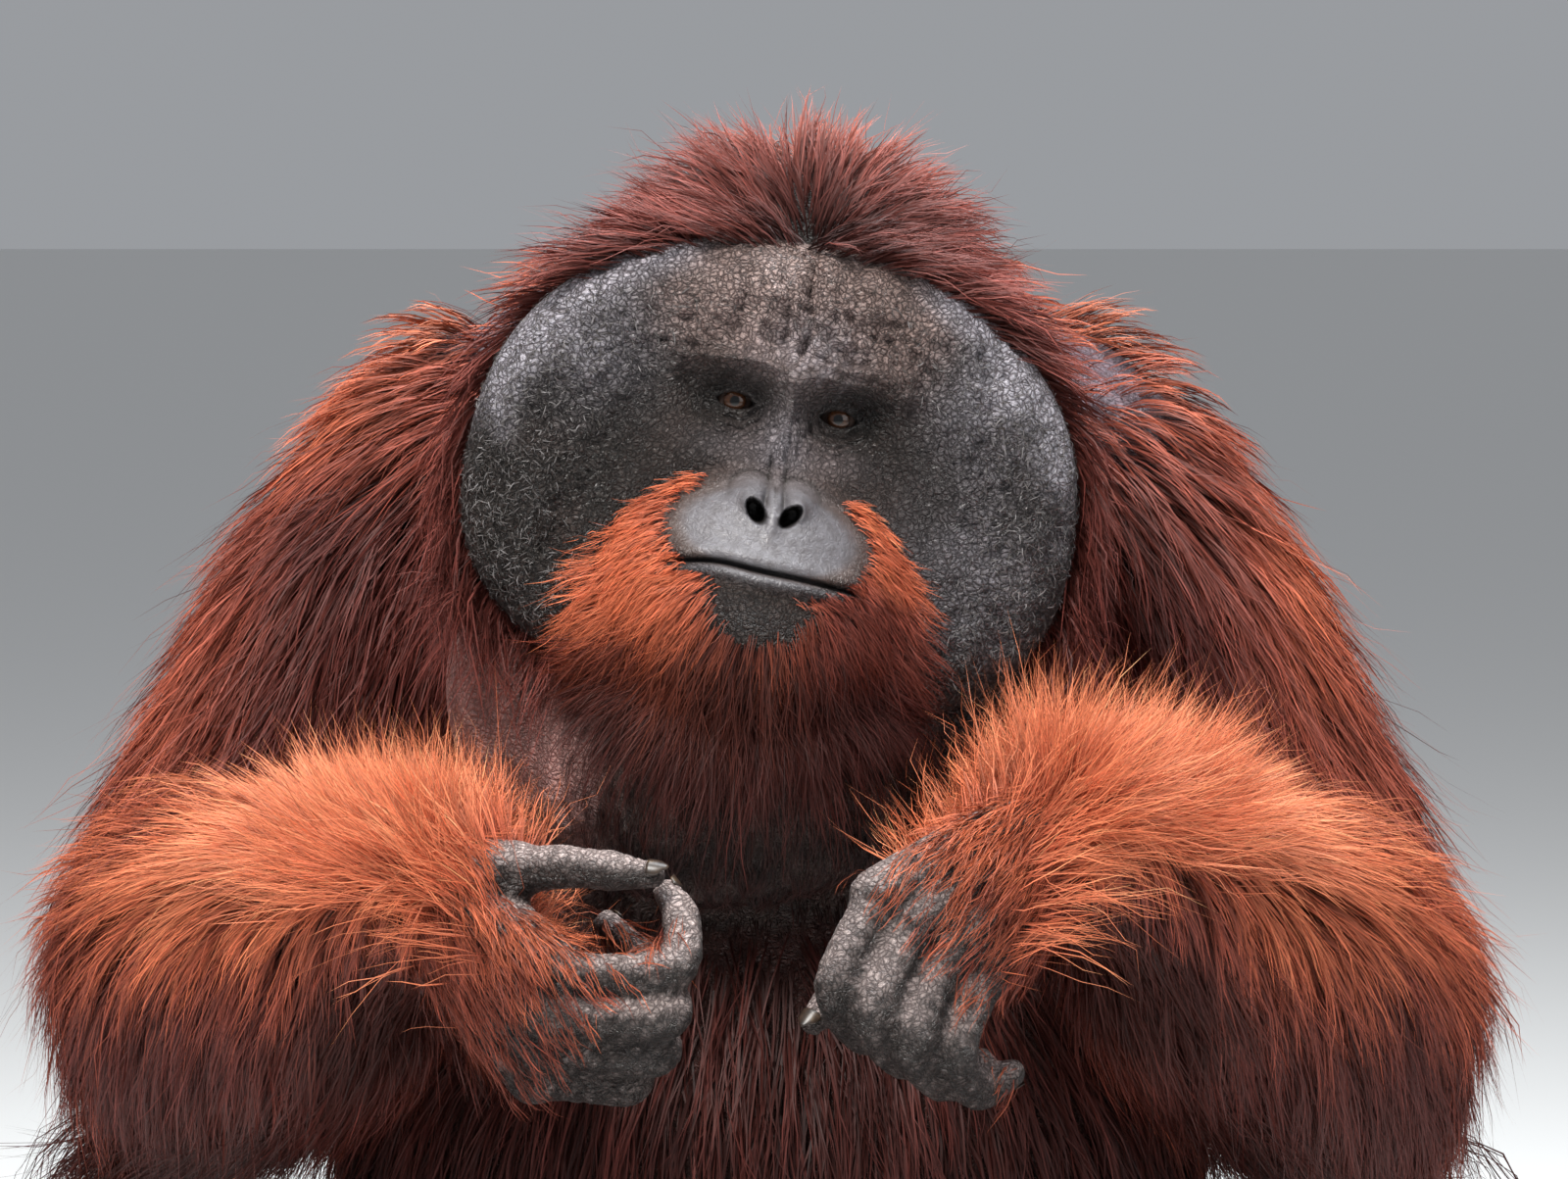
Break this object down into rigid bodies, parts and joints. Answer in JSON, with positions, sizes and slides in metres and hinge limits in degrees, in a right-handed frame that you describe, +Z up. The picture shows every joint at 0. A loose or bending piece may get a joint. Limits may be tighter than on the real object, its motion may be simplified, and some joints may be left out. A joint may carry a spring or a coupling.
{
  "type": "orangutan, flanged adult male, sitting",
  "caption": "Life-size still model of a sitting orangutan with broad cheek pads, throat pouch, long coat, and both hands raised loosely before its chest.",
  "frame": {"origin": "on the floor, on the flat that the rump sits on, midway between the hips", "axes": "+Z up, the animal faces -Y, and its left side is at +X"},
  "size_m": [0.9183, 0.7513, 0.8813],
  "materials": {
    "coat": "long red-brown hair",
    "face": "wrinkled bare skin, with red-brown hair on the crown and the chin",
    "throat": "loose skin with short hair",
    "ear": "bare skin",
    "bare_skin": "creased bare skin",
    "eye": "wet and dark"
  },
  "bodies": {
    "root": {"big_toe_left": "bare_skin", "big_toe_right": "bare_skin", "ear_left": "ear", "ear_right": "ear", "eye_left": "eye", "eye_right": "eye", "foot_left": "bare_skin", "foot_right": "bare_skin", "forearm_left": "coat", "forearm_right": "coat", "hand_left": "bare_skin", "hand_right": "bare_skin", "head": "face", "index_finger_left": "bare_skin", "index_finger_right": "bare_skin", "little_finger_left": "bare_skin", "little_finger_right": "bare_skin", "middle_finger_left": "bare_skin", "middle_finger_right": "bare_skin", "neck": "coat", "ring_finger_left": "bare_skin", "ring_finger_right": "bare_skin", "shin_left": "coat", "shin_right": "coat", "thigh_left": "coat", "thigh_right": "coat", "throat_pouch": "throat", "thumb_left": "bare_skin", "thumb_right": "bare_skin", "toe_2_left": "bare_skin", "toe_2_right": "bare_skin", "toe_3_left": "bare_skin", "toe_3_right": "bare_skin", "toe_4_left": "bare_skin", "toe_4_right": "bare_skin", "toe_5_left": "bare_skin", "toe_5_right": "bare_skin", "torso": "coat", "upper_arm_left": "coat", "upper_arm_right": "coat"}
  },
  "joints": []
}
